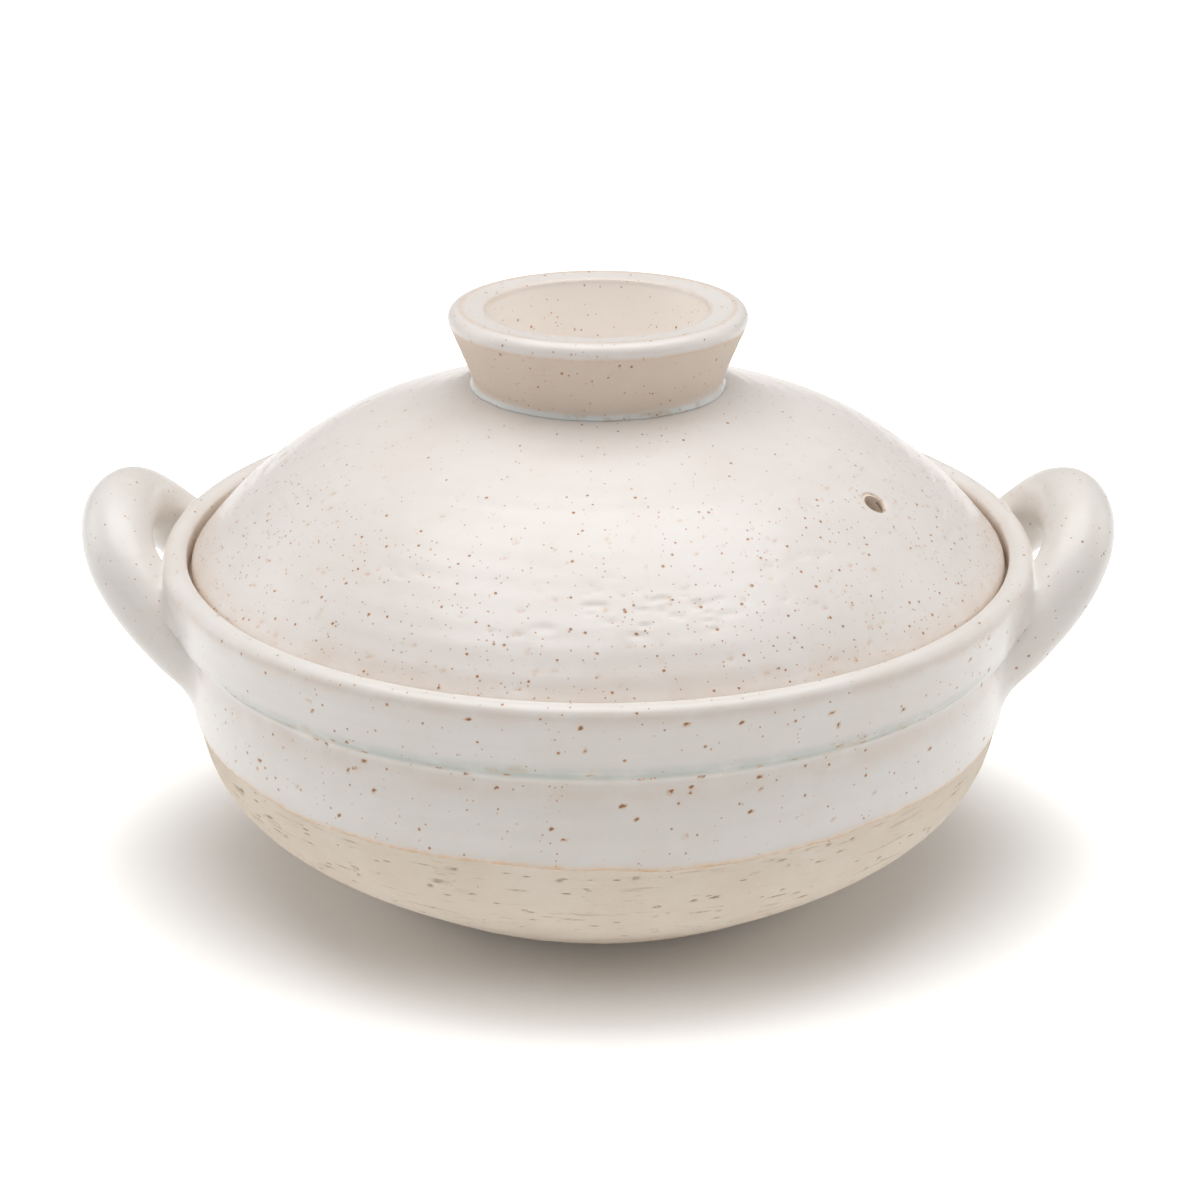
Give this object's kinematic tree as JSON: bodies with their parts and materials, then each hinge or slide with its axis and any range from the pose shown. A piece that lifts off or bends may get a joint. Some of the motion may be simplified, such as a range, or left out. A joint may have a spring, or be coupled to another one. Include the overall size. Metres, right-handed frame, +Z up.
{
  "type": "donabe clay pot",
  "caption": "Round-bellied clay cooking pot with two loop handles and a domed lid with a ring knob and a steam hole, white glaze over bare clay at the foot.",
  "frame": {"origin": "centre of the foot, on the surface that the pot stands on", "axes": "+Z up along the pot's axis; the two handles are on +X and -X; the steam hole is on the +X side of the lid, turned 30.9 degrees towards -Y"},
  "size_m": [0.3128, 0.264, 0.1781],
  "materials": {
    "bare_clay": "matt, unglazed, sandy",
    "bowl_glaze": "satin white glaze with iron specks",
    "lid_glaze": "satin warm white glaze with iron specks"
  },
  "bodies": {
    "bowl": {"bowl_body": "bare_clay", "bowl_outer_glaze": "bowl_glaze", "bowl_inner_glaze": "bowl_glaze", "handle_right": "bare_clay", "handle_left": "bare_clay"},
    "lid": {"lid_dome": "bare_clay", "lid_knob": "bare_clay", "lid_outer_glaze": "lid_glaze", "lid_inner_glaze": "lid_glaze"}
  },
  "joints": [
    {"name": "lid_lift", "type": "slide", "parent": "bowl", "child": "lid", "axis": [0, 0, 1], "range_m": [0, 0.16]}
  ]
}
